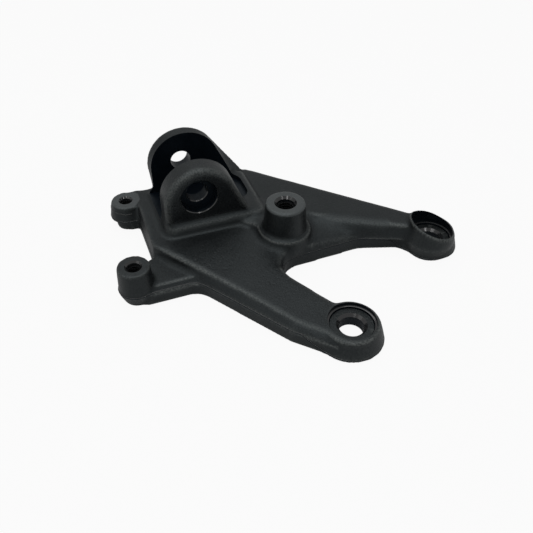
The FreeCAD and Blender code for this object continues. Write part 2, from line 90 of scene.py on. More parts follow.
# An ear's inner face: where its round is, the round's radius and the right side's lean.
NEAR_EAR = (-34.2, 23.5, 14.4, 23.5)
FAR_EAR = (-33.2, 24.2, 14.2, 24.0)
SEAT_Z = 15.2
SEAT_LEFT = -49.0
SEAT_RIGHT = -8.6
SEAT_SPREAD = 1.8
SLOT_FLOOR_Z = 13.4
SLOT_END_X = -11.3
SLOT_CORNER = 6.0
SLOT_START_X = -64.2
SLOT_TOP_Z = 60.0

# A tapped hole: place, bottom, top, the thread's outer and root radius, pitch, chamfer.
Tapping = namedtuple("Tapping", "place low top outer root pitch chamfer")
THREADS = {
    "stud_thread": Tapping(STUD, 3.8, STUD_Z, 4.0, 3.32, 1.25, 1.0),
    "guard_thread": Tapping(GUARD, 2.5, GUARD_Z, 3.0, 2.46, 1.0, 0.75),
    "lug_thread": Tapping(LUG, 0.0, LUG_Z, 2.5, 2.07, 0.8, 0.75),
}
# A ridge's base and crest as parts of the pitch, and its scale where it runs out.
THREAD_BASE = 1.8
THREAD_CREST = 0.12
THREAD_END = 0.05
THREAD_TURN_STEPS = 48
# A thread's ridge stands in a hole this much wider than the thread.
GROOVE_GAP = 0.05
# A plug and a cutter pass their neighbours by this much.
OVER = 1.0
# A machined edge is broken by this much.
BREAK = 0.3
# A plug is wider than what it fills by this much.
PLUG_OVER = 0.1
# The frame bolts' cutters end this far over their rims.
LOWER_CLEAR = 5.0
UPPER_CLEAR = 9.0
# Sides of a turned solid and of the upper bolt's plug, and steps of an arc.
TURNED_SIDES = 96
PLUG_SIDES = 64
ARC_STEPS = 24

# The parting line dips round the bolts' bosses: centre, inner and outer reach, depth.
DIPS = (((0.0, 0.0), 12.2, 18.0, 4.6), (UPPER_BOLT, 11.5, 17.0, 4.4))

# The radius of the casting's inner corners and of its outer edges.
ROUNDING = (1.6, 1.5)
# Places that differ, as boxes: low and high corner, then the two radii there.
BOXES = {
    "plate's left edge": ((-61.0, 48.0, 8.0), (-53.5, 84.0, 14.0), 0.7, 0.6),
    "shelf's step": ((4.0, 36.0, 7.0), (34.0, 51.0, 14.0), 4.1, 4.1),
    "upper boss's neck": ((38.0, 22.0, 4.0), (47.0, 42.0, 12.0), 3.3, 1.5),
    "crotch": ((-26.0, 33.0, 6.0), (0.0, 46.0, 13.5), 4.1, 4.1),
    "seat's front": ((-52.0, 56.5, 9.5), (-14.0, 63.0, 16.0), 1.0, 2.6),
    "seat's end": ((-14.0, 54.0, 10.0), (-4.0, 70.0, 17.0), 2.4, 3.3),
    "far ear's back": ((-60.0, 92.5, 15.0), (0.0, 100.0, 45.0), 1.0, 0.6),
    "mounting face": ((-90.0, -20.0, -1.0), (80.0, 110.0, 0.6), 1.0, 1.0),
}
# The same as upright rounds: centre, radius, low and high end, then the two radii.
ROUNDS = {
    "collar": (STUD, 12.0, 8.0, 13.5, 2.2, 2.0),
    "stud boss": (STUD, 9.5, 13.5, 30.0, 0.7, 0.5),
    "guard boss": (GUARD, 7.2, 8.0, 20.0, 0.5, 0.5),
    "lug": (LUG, 8.0, 3.0, 20.0, 0.8, 0.6),
}
# How far a place's radii fade into those round it.
BLEND = 1.2
# A few even steps first take away the cells' own stairs.
EVEN_STEPS = 3
EVEN_PART = 0.5
# Full steps of smoothing, and the radius in cells that one full step gives, squared.
STEPS = 60
STEP_GAIN = 1.13
# How much of a move along the surface counts in each step.
SLIDE = 0.3

# An outer edge of the usual radius gets the full painted highlight where it lost this depth.
HIGHLIGHT_DEPTH = 0.3

# The casting's long and short waves per metre, the short ones' part, and the height
# over the mounting face from which they have their full depth.
LONG_WAVES = 110.0
SHORT_WAVES = 260.0
SHORT_PART = 0.5
FULL_WAVES_Z = 2.0

# A dark bead, a painted shadow under the flash, runs this far below the bead of flash, and is this
# much thicker.
SHADOW_DROP = 0.32
SHADOW_WIDER = 1.5
# A bead takes every so many points of its line. Its thickness swings round a mean.
BEAD_EVERY = 2
BEAD_MEAN = 0.9
BEAD_SWING = 0.5
BEAD_WAVES = 700.0

# The painted light on a tapped boss's top starts this far below its edge.
LIT_TOP_DROP = 0.8
# The tapped bosses' tops, painted lighter as if lit from above: centre, radius, height and how
# much of the painted light each gets.
LIT_TOPS = (
    (STUD, STUD_RADIUS, STUD_Z, 1.0),
    (GUARD, GUARD_RADIUS, GUARD_Z, 0.1),
    (LUG, LUG_RADIUS, LUG_Z, 1.0),
)

# A wavy burr runs round the lug's side, from one angle to the other.
BURR_Z = 9.4
BURR_RADIUS = 6.3
BURR_START = -215.0
BURR_END = -20.0
BURR_STEPS = 60
BURR_SWING = 0.7
BURR_WAVES = 0.5

# Corners closer than this, in metres, are one. The CAD node's are merged more freely.
WELD = 0.0000001
NODE_WELD = 0.000001
# An edge shorter than this, in metres, is dissolved.
SLIVER = 0.0000005
# Faces that meet at more than this many degrees keep a crease.
CAST_CREASE = 32.0
THREAD_CREASE = 50.0
BEAD_CREASE = 80.0
# A piece with fewer faces than this has failed.
CAST_LEAST = 1000
THREAD_LEAST = 100

# Material indices on the casting.
CAST, CUT, EDGE = 0, 1, 2

# The camera's place, its turn from +Y, its pitch and roll, and its focal length.
CAMERA_SPOT = (-81.0, -123.6, 165.2)
CAMERA_TURN = 21.6
CAMERA_PITCH = 42.5
CAMERA_ROLL = 0.9
FOCAL_PIXELS = 620.0
PHOTO_PIXELS = 533.0
SENSOR = 36.0
CLIP_START = 0.01

# A lamp: the setting with its power, its width and height, and its place.
LAMPS = {
    "softbox": ("softbox", 700, 450, (-60, 60, 520)),
    "side_fill": ("fill", 300, 300, (-520, -60, 260)),
    "glint_left": ("glint", 120, 120, (-330, -330, 560)),
    "glint_right": ("glint", 120, 120, (170, -400, 520)),
}
LAMP_TARGET = (-10, 45, 0)
# The room's light on the hanger, and how white the camera sees the floor.
ROOM_LIGHT = 0.40
FLOOR_WHITE = 0.93
# The floor's reach and how far it lies below the hanger, in metres.
FLOOR_REACH = 2.0
FLOOR_DROP = 0.0001


class HangerCastSettings(bpy.types.PropertyGroup):
    cell: FloatProperty(
        name="Cell", description="Size of the casting's surface cells", default=0.0005,
        min=0.0004, max=0.002, unit="LENGTH", precision=5)
    steps: IntProperty(
        name="Steps", description="Smoothing steps that round the corners", default=STEPS, min=1)
    waviness: FloatProperty(
        name="Waviness", description="Depth of the casting's unevenness", default=0.00006,
        min=0.0, unit="LENGTH", precision=6)
    flash: FloatProperty(
        name="Flash", description="Radius of the bead on the parting line", default=0.00014,
        min=0.00005, unit="LENGTH", precision=6)


class HangerFinishSettings(bpy.types.PropertyGroup):
    coat: FloatVectorProperty(
        name="Coat", description="Colour of the satin coating", subtype="COLOR", size=3,
        default=(0.002, 0.0025, 0.003), min=0.0, max=1.0)
    coat_worn: FloatVectorProperty(
        name="Coat Light", description="Colour of the coating's lighter patches",
        subtype="COLOR", size=3, default=(0.011, 0.012, 0.0126), min=0.0, max=1.0)
    # Painted highlight: the light grains put on the rounded outer edges.
    edge_highlight: FloatVectorProperty(
        name="Edge Highlight", description="Colour of the grains on the worn outer edges",
        subtype="COLOR", size=3, default=(0.088, 0.093, 0.09), min=0.0, max=1.0)
    machined: FloatVectorProperty(
        name="Machined", description="Colour of the coating where the metal was machined",
        subtype="COLOR", size=3, default=(0.0012, 0.0024, 0.0042), min=0.0, max=1.0)
    # Painted light: the colour that lightens the bosses' tops.
    bare: FloatVectorProperty(
        name="Top Light", description="Colour of the painted light on the bosses' tops",
        subtype="COLOR", size=3, default=(0.058, 0.063, 0.064), min=0.0, max=1.0)
    bright: FloatVectorProperty(
        name="Bright", description="Colour of the machined edges where the coating is thin",
        subtype="COLOR", size=3, default=(0.02, 0.021, 0.022), min=0.0, max=1.0)


class HangerStageSettings(bpy.types.PropertyGroup):
    floor: FloatVectorProperty(
        name="Floor", description="Colour of the floor", subtype="COLOR", size=3,
        default=(0.62, 0.62, 0.62), min=0.0, max=1.0)
    softbox: FloatProperty(
        name="Softbox", description="Power of the lamp overhead", default=1.1, min=0.0,
        unit="POWER")
    fill: FloatProperty(
        name="Fill", description="Power of the lamp on the left", default=0.12, min=0.0,
        unit="POWER")
    glint: FloatProperty(
        name="Glint", description="Power of each small lamp in front", default=0.14, min=0.0,
        unit="POWER")


class Value:
    """A shader socket that sums and products can be written with."""

    def __init__(self, graph, socket):
        self.graph = graph
        self.socket = socket

    def math(self, operation, first, second):
        made = self.graph.node("ShaderNodeMath", {"operation": operation}, {0: first, 1: second})
        return Value(self.graph, made.outputs[0])

    def __add__(self, other):
        return self.math("ADD", self, other)

    def __sub__(self, other):
        return self.math("SUBTRACT", self, other)

    def __rsub__(self, other):
        return self.math("SUBTRACT", other, self)

    def __mul__(self, other):
        return self.math("MULTIPLY", self, other)

    __radd__ = __add__
    __rmul__ = __mul__


class Graph:
    """The node tree of a material, of the world or of the threads."""

    def __init__(self, tree):
        self.tree = tree
        tree.nodes.clear()

    def node(self, kind, settings=None, sockets=None):
        """Add a node, set its settings, then give its sockets values or links."""
        made = self.tree.nodes.new(kind)
        for name, value in (settings or {}).items():
            if name == "stops":
                self.set_stops(made.color_ramp, value)
            else:
                setattr(made, name, value)
        for name, value in (sockets or {}).items():
            if isinstance(value, Value):
                self.tree.links.new(value.socket, made.inputs[name])
            elif isinstance(value, bpy.types.NodeSocket):
                self.tree.links.new(value, made.inputs[name])
            else:
                made.inputs[name].default_value = value
        return made

    def set_stops(self, ramp, stops):
        """Put (place, grey) stops on a ramp that has two."""
        while len(ramp.elements) < len(stops):
            ramp.elements.new(0.5)
        for element, (place, grey) in zip(ramp.elements, stops):
            element.position = place
            element.color = (grey, grey, grey, 1.0)

    def noise(self, spot, scale, detail, roughness=0.5):
        made = self.node("ShaderNodeTexNoise", {}, {
            "Vector": spot, "Scale": scale, "Detail": detail, "Roughness": roughness})
        return Value(self, made.outputs["Fac"])

    def attribute(self, name):
        made = self.node("ShaderNodeAttribute", {"attribute_name": name})
        return Value(self, made.outputs["Fac"])

    def ramp(self, value, stops):
        made = self.node("ShaderNodeValToRGB", {"stops": stops}, {"Fac": value})
        return Value(self, made.outputs["Color"])

    def mix(self, factor, first, second):
        """Mix two colours, each a socket or three numbers."""
        first, second = [colour if isinstance(colour, bpy.types.NodeSocket) else (*colour, 1.0)
                         for colour in (first, second)]
        made = self.node("ShaderNodeMix", {"data_type": "RGBA"},
                         {"Factor": factor, 6: first, 7: second})
        return made.outputs[2]

    def bump(self, height, depth, strength=1.0):
        made = self.node("ShaderNodeBump", {},
                         {"Height": height, "Distance": depth, "Strength": strength})
        return made.outputs["Normal"]

    def surface(self, sockets):
        shader = self.node("ShaderNodeBsdfPrincipled", {}, sockets)
        self.node("ShaderNodeOutputMaterial", {}, {"Surface": shader.outputs[0]})


def scaled(colour, gain):
    return tuple(part * gain for part in colour)


def new_graph(name):
    material = bpy.data.materials.new(name)
    material.use_nodes = True
    return material, Graph(material.node_tree)


def coated_material(finish):
    """The satin coating over the cast surface: fine grain, shallow pits and soft patches, with a
    painted highlight on the rounded outer edges and painted light on the bosses' tops.
    """
    material, graph = new_graph("satin_coating")
    spot = graph.node("ShaderNodeTexCoord").outputs["Object"]
    patches = graph.noise(spot, scale=95.0, detail=3.0)
    grain = graph.noise(spot, scale=1500.0, detail=3.0, roughness=0.6)
    holes = graph.noise(spot, scale=620.0, detail=2.0)
    pits = graph.ramp(holes, [(0.30, 0.0), (0.42, 1.0)])
    height = grain * 0.75 + pits * 0.25
    tone = graph.ramp(patches, [(0.3, 0.0), (0.7, 1.0)])
    specks = graph.ramp(grain, [(0.35, 0.0), (0.65, 1.0)])
    # This attribute is 1 on the bosses' tops, where light is painted, and -1 on the near ear's
    # smoother face.
    bare = graph.attribute("bare")
    # This attribute is 1 on rounded outer edges, where a highlight is painted, and -1 in filled
    # inner corners, which only get rougher.
    worn = graph.attribute("worn")
    # thin masks the painted light on the bosses' tops; smooth only lowers the roughness of the
    # near ear's face.
    thin = graph.ramp(bare, [(0.0, 0.0), (1.0, 1.0)])
    smooth = graph.ramp(bare * -1.0, [(0.0, 0.0), (1.0, 1.0)])
    # edge masks the painted highlight on the outer edges; corner only raises the roughness.
    edge = graph.ramp(worn, [(0.05, 0.0), (0.9, 1.0)])
    corner = graph.ramp(worn * -1.0, [(0.05, 0.0), (0.9, 1.0)])
    coat = graph.mix(tone * 0.4 + specks * 0.6, finish.coat, finish.coat_worn)
    # Painted highlight: the outer edges are lightened, in grainy specks.
    edge_highlight = graph.mix(edge * (specks * 0.8 + 0.2), coat, finish.edge_highlight)
    roughness = patches * 0.08 + grain * 0.16 + corner * 0.25 + edge * 0.10
    # Painted light: the bosses' tops are lightened in the Base Color.
    graph.surface({
        "Base Color": graph.mix(thin, edge_highlight, finish.bare),
        "Roughness": roughness - smooth * 0.14 + 0.26,
        "Specular IOR Level": 0.45,
        "Specular Tint": (0.85, 0.97, 1.0, 1.0),
        "Normal": graph.bump(height, depth=0.00013),
    })
    return material


def machined_material(finish):
    """Bores and seats: nearly black and smooth, with fine tool marks."""
    material, graph = new_graph("machined_seats")
    spot = graph.node("ShaderNodeTexCoord").outputs["Object"]
    patches = graph.noise(spot, scale=260.0, detail=2.0)
    stretched = graph.node("ShaderNodeMapping", {}, {"Vector": spot, "Scale": (0.15, 0.15, 1.0)})
    marks = graph.noise(stretched.outputs[0], scale=3600.0, detail=2.0)
    colour = graph.mix(patches, finish.machined, scaled(finish.machined, 1.6))
    graph.surface({
        "Base Color": colour,
        "Roughness": patches * 0.12 + marks * 0.10 + 0.22,
        "Specular IOR Level": 0.35,
        "Specular Tint": (0.75, 0.9, 1.0, 1.0),
        "Normal": graph.bump(marks, depth=0.00002, strength=0.6),
    })
    return material


def bright_material(finish):
    """Machined edges: a thin coating that catches the light."""
    material, graph = new_graph("bright_edges")
    spot = graph.node("ShaderNodeTexCoord").outputs["Object"]
    patches = graph.noise(spot, scale=420.0, detail=3.0)
    colour = graph.mix(patches, scaled(finish.bright, 0.5), finish.bright)
    graph.surface({
        "Base Color": colour,
        "Roughness": patches * 0.10 + 0.08,
        "Specular IOR Level": 0.9,
        "Normal": graph.bump(patches, depth=0.00002, strength=0.5),
    })
    return material


def casting_materials():
    """The casting's three finishes in the order of CAST, CUT and EDGE."""
    finish = bpy.context.scene.hanger_finish
    makers = {
        "satin_coating": coated_material,
        "machined_seats": machined_material,
        "bright_edges": bright_material,
    }
    return [bpy.data.materials.get(name) or make(finish) for name, make in makers.items()]


def in_metres(points):
    return [Vector(point) * MM for point in points]


def add_solid(bm, points, faces, finishes=None):
    """Add a closed solid, given in millimetres, to the mesh being built."""
    verts = [bm.verts.new(point) for point in in_metres(points)]
    made = []
    for number, corners in enumerate(faces):
        face = bm.faces.new([verts[i] for i in corners])
        face.material_index = finishes[number] if finishes else CUT
        made.append(face)
    bmesh.ops.recalc_face_normals(bm, faces=made)


def upright(x, y, height):
    return x, y, height


def along_pin(x, y, height):
    return x, height, -y


def add_turned(bm, centre, profile, turn=upright, segments=TURNED_SIDES):
    """Add a solid turned round an axis.

    profile holds (radius, height, finish) from the axis at the low end to the axis at
    the high end. A finish belongs to the stretch up to that point.
    """
    points, rings, faces, finishes = [], [], [], []
    for radius, height, _ in profile:
        count = segments if radius else 1
        rings.append(range(len(points), len(points) + count))
        for i in range(count):
            angle = 2 * math.pi * i / segments
            x, y, z = turn(radius * math.cos(angle), radius * math.sin(angle), height)
            points.append((centre[0] + x, centre[1] + y, centre[2] + z))
    for low, high, (_, _, finish) in zip(rings, rings[1:], profile[1:]):
        for i in range(segments):
            j = (i + 1) % segments
            if len(low) == 1:
                faces.append((low[0], high[j], high[i]))
            elif len(high) == 1:
                faces.append((low[i], low[j], high[0]))
            else:
                faces.append((low[i], low[j], high[j], high[i]))
            finishes.append(finish)
    add_solid(bm, points, faces, finishes)


def add_prism(bm, first, last, low, high, stand):
    """Add a prism between two outlines. stand(u, v, height) says where a point goes."""
    count = len(first)
    points = [stand(u, v, low) for u, v in first] + [stand(u, v, high) for u, v in last]
    faces = [tuple(range(count)), tuple(range(count, 2 * count))]
    for i in range(count):
        j = (i + 1) % count
        faces.append((i, j, count + j, count + i))
    add_solid(bm, points, faces)


def arc(centre, radius, start, end, steps=ARC_STEPS):
    """Points on an arc between two angles in degrees."""
    angles = [math.radians(start + (end - start) * i / steps) for i in range(steps + 1)]
    return [(centre[0] + radius * math.cos(a), centre[1] + radius * math.sin(a)) for a in angles]


def ear_outline(x, z, radius, lean):
    """An ear's inner face seen along the pin: a round with a straight and a leaning side."""
    drop = (z - PARTING_Z) * math.sin(math.radians(lean))
    foot = x + (radius + drop) / math.cos(math.radians(lean))
    return [(x - radius, PARTING_Z), (foot, PARTING_Z)] + arc((x, z), radius, lean, 180.0)


def rim_height(x, y):
    """The inclined rim of the upper bolt's boss."""
    return UPPER_RIM_Z - RIM_FALL * (x - UPPER_BOLT[0]) + RIM_RISE * (y - UPPER_BOLT[1])


def pillar(radius, low, high):
    """The profile of a plain cylinder."""
    return [(0, low, CUT), (radius, low, CUT), (radius, high, CUT), (0, high, CUT)]


def sideways(x, z, height):
    return x, height, z


def to_rim(x, y, share):
    return x, y, rim_height(x, y) * share


def add_plugs(bm):
    """Fill what was machined, so that the casting's edges can be rounded without it."""
    radius = SPOT_RADIUS + PLUG_OVER
    add_turned(bm, (0, 0, 0), pillar(radius, 0, LOWER_RIM_Z))
    circle = arc(UPPER_BOLT, radius, 0.0, 360.0, PLUG_SIDES)[:-1]
    add_prism(bm, circle, circle, 0, 1, to_rim)
    for hole in THREADS.values():
        mouth = hole.root + hole.chamfer + PLUG_OVER
        add_turned(bm, (*hole.place, 0), pillar(mouth, hole.low, hole.top))
    head = pillar(PIN_HEAD_RADIUS + PLUG_OVER, NEAR_FACE_Y, FAR_FACE_Y)
    add_turned(bm, (PIN_X, 0, PIN_Z), head, along_pin)
    near = NEAR_INNER_Y - PLUG_OVER
    far = FAR_INNER_Y + PLUG_OVER
    add_prism(bm, ear_outline(*NEAR_EAR), ear_outline(*FAR_EAR), near, far, sideways)
    seat = [(SEAT_LEFT - SEAT_SPREAD, PARTING_Z), (SEAT_RIGHT + SEAT_SPREAD, PARTING_Z),
            (SEAT_RIGHT, SEAT_Z), (SEAT_LEFT, SEAT_Z)]
    add_prism(bm, seat, seat, near, far, sideways)


def bolt_cutter(top):
    """The frame bolt's bore with a chamfer at both ends, and its spot face with a ledge."""
    ledge = SPOT_RADIUS - SPOT_LEDGE
    return [(0, -OVER, CUT), (BOLT_RADIUS + BOLT_CHAMFER + OVER, -OVER, CUT),
            (BOLT_RADIUS, BOLT_CHAMFER, EDGE),
            (BOLT_RADIUS, BOLT_FLOOR_Z - BOLT_MOUTH + BOLT_RADIUS, CUT),
            (BOLT_MOUTH - BREAK, BOLT_FLOOR_Z - BREAK, EDGE), (BOLT_MOUTH, BOLT_FLOOR_Z, EDGE),
            (ledge - BREAK, BOLT_FLOOR_Z, CAST), (ledge, BOLT_FLOOR_Z - BREAK / 2, CUT),
            (ledge, BOLT_FLOOR_Z + SPOT_LEDGE, CUT),
            (SPOT_RADIUS, BOLT_FLOOR_Z + SPOT_LEDGE + BREAK / 2, EDGE),
            (SPOT_RADIUS, top, CUT), (0, top, CUT)]


def tapped_cutter(hole):
    """A tapped hole with its chamfer. The thread's ridge stands in the wider bore."""
    low = hole.low if hole.low else -OVER
    groove = hole.outer + GROOVE_GAP
    lip = hole.top - hole.chamfer
    mouth = hole.root + hole.chamfer
    return [(0, low, CUT), (groove, low, CUT), (groove, lip - BREAK, CUT),
            (hole.root + BREAK / 2, lip, CUT), (mouth, hole.top, EDGE),
            (mouth + OVER, hole.top + OVER, EDGE), (0, hole.top + OVER, CUT)]


def add_cutters(bm):
    """The slot between the ears, the frame bolts' bores and the tapped holes."""
    add_turned(bm, (0, 0, 0), bolt_cutter(LOWER_RIM_Z + LOWER_CLEAR))
    add_turned(bm, (*UPPER_BOLT, 0), bolt_cutter(UPPER_RIM_Z + UPPER_CLEAR))
    for hole in THREADS.values():
        add_turned(bm, (*hole.place, 0), tapped_cutter(hole))
    corner_x = SLOT_END_X - SLOT_CORNER
    outline = [(SLOT_START_X, NEAR_INNER_Y)]
    outline += arc((corner_x, NEAR_INNER_Y + SLOT_CORNER), SLOT_CORNER, -90.0, 0.0)
    outline += arc((corner_x, FAR_INNER_Y - SLOT_CORNER), SLOT_CORNER, 0.0, 90.0)
    outline += [(SLOT_START_X, FAR_INNER_Y)]
    add_prism(bm, outline, outline, SLOT_FLOOR_Z, SLOT_TOP_Z, upright)


def add_pin_cutter(bm):
    """The pin's bore through both ears, and the seat for its head."""
    floor = NEAR_FACE_Y + PIN_HEAD_DEPTH
    mouth = PIN_HEAD_RADIUS + BREAK + OVER
    profile = [(0, NEAR_FACE_Y - OVER, CUT), (mouth, NEAR_FACE_Y - OVER, CUT),
               (PIN_HEAD_RADIUS, NEAR_FACE_Y + BREAK, EDGE), (PIN_HEAD_RADIUS, floor, CUT),
               (PIN_RADIUS + BREAK, floor, CUT), (PIN_RADIUS, floor + BREAK, EDGE),
               (PIN_RADIUS, FAR_FACE_Y - BREAK, CUT),
               (PIN_RADIUS + BREAK + OVER, FAR_FACE_Y + OVER, CUT), (0, FAR_FACE_Y + OVER, CUT)]
    add_turned(bm, (PIN_X, 0, PIN_Z), profile, along_pin)


def new_object(name, mesh):
    made = bpy.data.objects.new(name, mesh)
    bpy.context.collection.objects.link(made)
    return made


def build(name, *adders):
    """An object whose mesh the adders fill."""
    bm = bmesh.new()
    for add in adders:
        add(bm)
    mesh = bpy.data.meshes.new(name)
    bm.to_mesh(mesh)
    bm.free()
    return new_object(name, mesh)


def settle(thing):
    """Replace the object's mesh by what its modifiers make of it."""
    graph = bpy.context.evaluated_depsgraph_get()
    mesh = bpy.data.meshes.new_from_object(thing.evaluated_get(graph))
    thing.modifiers.clear()
    thing.data = mesh


def add_node_copy(bm):
    """The CAD node's mesh with its doubles merged."""
    bm.from_mesh(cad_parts[NODE].data)
    bmesh.ops.remove_doubles(bm, verts=bm.verts, dist=NODE_WELD)


def read(items, name, width, kind):
    """A mesh attribute as an array with width columns."""
    values = np.empty(len(items) * width, kind)
    items.foreach_get(name, values)
    return values.reshape(-1, width) if width > 1 else values


class Skin:
    """The casting's surface as arrays, with the steps that wear it."""

    def __init__(self, mesh):
        self.mesh = mesh
        self.spots = read(mesh.vertices, "co", 3, np.float64)
        self.edges = read(mesh.edges, "vertices", 2, np.int64)
        self.quads = read(mesh.loops, "vertex_index", 1, np.int64).reshape(-1, 4)
        ends = self.edges.ravel()
        self.valence = np.bincount(ends, minlength=len(self.spots)).astype(float)
        # How far each vertex moved in rounding; it later masks the painted highlight on the outer
        # edges.
        self.worn = np.zeros(len(self.spots))

    def spread(self, index, values):
        """Sum values that belong to vertices by index."""
        count = len(self.spots)
        return np.stack([np.bincount(index, values[:, k], count) for k in range(3)], axis=1)

    def normals(self):
        corners = self.spots[self.quads]
        across = np.cross(corners[:, 2] - corners[:, 0], corners[:, 3] - corners[:, 1])
        total = self.spread(self.quads.ravel(), np.repeat(across, 4, axis=0))
        return total / np.linalg.norm(total, axis=1, keepdims=True)

    def shares(self, cell, steps):
        """What part of a full step each vertex takes, in inner corners and on outer edges."""
        spots = self.spots / MM
        radii = np.tile(np.array(ROUNDING), (len(spots), 1))
        places = []
        for low, high, inner, outer in BOXES.values():
            away = np.maximum(np.array(low) - spots, spots - np.array(high)).max(axis=1)
            places.append((away, (inner, outer)))
        for centre, radius, low, high, inner, outer in ROUNDS.values():
            reach = np.hypot(spots[:, 0] - centre[0], spots[:, 1] - centre[1]) - radius
            away = np.maximum(reach, np.maximum(low - spots[:, 2], spots[:, 2] - high))
            places.append((away, (inner, outer)))
        for away, there in places:
            share = np.clip(1.0 - away / BLEND, 0.0, 1.0)[:, None]
            radii += (np.array(there) - radii) * share
        self.radii = radii[:, 1]
        full = STEP_GAIN * steps * (cell / MM) ** 2
        return np.clip(radii ** 2 / full, 0.0, 1.0).T

    def wear(self, steps, fill, shave):
        """Move each vertex towards its neighbours.

        fill is how much of a move away from the metal counts, in inner corners, and
        shave how much of a move into it, on outer edges. Both are numbers or arrays.
        """
        first, second = self.edges.T
        for _ in range(steps):
            total = self.spread(first, self.spots[second]) + self.spread(second, self.spots[first])
            pull = total / self.valence[:, None] - self.spots
            normals = self.normals()
            rise = (pull * normals).sum(axis=1)
            slide = pull - normals * rise[:, None]
            part = np.where(rise > 0, fill, shave)
            self.spots += normals * (rise * part)[:, None] + slide * SLIDE
            self.worn -= rise * part

    def ripple(self, depth):
        """Raise and lower the surface a little, as a cast one is uneven."""
        normals = self.normals()
        for i, spot in enumerate(self.spots):
            point = Vector(spot)
            short = SHORT_PART * noise.noise(point * SHORT_WAVES)
            wave = noise.noise(point * LONG_WAVES) + short
            share = min(1.0, spot[2] / (FULL_WAVES_Z * MM))
            self.spots[i] += normals[i] * wave * depth * share

    def store(self):
        """Write the places back, and how far each was rounded: 1 on an edge, where a highlight is
        painted, -1 in a corner.
        """
        self.mesh.vertices.foreach_set("co", self.spots.ravel())
        marks = self.mesh.attributes.new("worn", "FLOAT", "POINT")
        usual = ROUNDING[1]
        depth = self.worn / (HIGHLIGHT_DEPTH * MM * np.maximum(self.radii / usual, 1.0) ** 2)
        marks.data.foreach_set("value", np.clip(depth, -1.0, 1.0).astype(np.float32))
        self.mesh.update()


def drop_folds(bm):
    """Delete triangles that lie on each other, and close the surface where they were."""
    places = {}
    for face in bm.faces:
        corners = frozenset(tuple(round(c / WELD) for c in vert.co) for vert in face.verts)
        places.setdefault(corners, []).append(face)
    folded = [face for faces in places.values() if len(faces) > 1 for face in faces]
    bmesh.ops.delete(bm, geom=folded, context="FACES_ONLY")
    loose = [edge for edge in bm.edges if not edge.link_faces]
    bmesh.ops.delete(bm, geom=loose, context="EDGES")
    bmesh.ops.remove_doubles(bm, verts=bm.verts, dist=WELD)


def sharpen(mesh, angle):
    """Shade smooth, with a crease where faces meet at more than the angle."""
    bm = bmesh.new()
    bm.from_mesh(mesh)
    bmesh.ops.dissolve_degenerate(bm, dist=SLIVER, edges=bm.edges)
    bmesh.ops.triangulate(bm, faces=bm.faces)
    drop_folds(bm)
    limit = math.radians(angle)
    for face in bm.faces:
        face.smooth = True
    for edge in bm.edges:
        mixed = len({face.material_index for face in edge.link_faces}) > 1
        bent = len(edge.link_faces) == 2 and edge.calc_face_angle(0.0) > limit
        edge.smooth = not (mixed or bent)
    bm.to_mesh(mesh)
    bm.free()


def mark_lit_tops(mesh):
    """Mark the bosses' tops, where light is painted, as 1 and the near ear's smooth face as -1."""
    marks = mesh.attributes.new("bare", "FLOAT", "POINT")
    spots = read(mesh.vertices, "co", 3, np.float32) / MM
    bare = np.zeros(len(spots), np.float32)
    for centre, radius, top, share in LIT_TOPS:
        reach = np.hypot(spots[:, 0] - centre[0], spots[:, 1] - centre[1])
        bare[(reach < radius + BREAK) & (spots[:, 2] > top - LIT_TOP_DROP)] = share
    face = (abs(spots[:, 1] - NEAR_FACE_Y) < BREAK) & (spots[:, 2] > SEAT_Z + OVER)
    bare[face] = -1.0
    marks.data.foreach_set("value", bare)


def finished(piece):
    """Let a piece ride with the hanger."""
    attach(piece, BODY)


def into_cells(piece, cell):
    """Make the piece one closed skin of small square cells."""
    remesh = piece.modifiers.new("cells", "REMESH")
    remesh.mode = "VOXEL"
    remesh.voxel_size = cell
    settle(piece)


def round_off(mesh, settings):
    """Fill the inner corners, wear the outer edges and make the surface a little uneven."""
    skin = Skin(mesh)
    inner, outer = skin.shares(settings.cell, settings.steps)
    skin.wear(EVEN_STEPS, EVEN_PART, EVEN_PART)
    skin.wear(settings.steps, inner, outer)
    skin.ripple(settings.waviness)
    skin.store()


def machine(piece):
    """Cut the slot, the seats and the bores, each face with its finish."""
    materials = casting_materials()
    cutters = [build("cutters", add_cutters), build("pin_cutter", add_pin_cutter)]
    for thing in (piece, *cutters):
        for material in materials:
            thing.data.materials.append(material)
    for face in piece.data.polygons:
        face.material_index = CAST
    for cutter in cutters:
        boolean = piece.modifiers.new(cutter.name, "BOOLEAN")
        boolean.operation = "DIFFERENCE"
        boolean.solver = "EXACT"
        boolean.object = cutter
        settle(piece)
        bpy.data.objects.remove(cutter)


class HANGER_OT_casting(bpy.types.Operator):
    """Build the casting from the CAD node, round its edges and machine it"""
    bl_idname = "hanger.casting"
    bl_label = "Casting"

    def execute(self, context):
        settings = context.scene.hanger_cast
        piece = build("hanger_casting", add_node_copy, add_plugs)
        into_cells(piece, settings.cell)
        round_off(piece.data, settings)
        machine(piece)
        sharpen(piece.data, CAST_CREASE)
        mark_lit_tops(piece.data)
        if len(piece.data.polygons) < CAST_LEAST:
            raise RuntimeError("the casting came out empty")
        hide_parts(NODE)
        finished(piece)
        return {"FINISHED"}


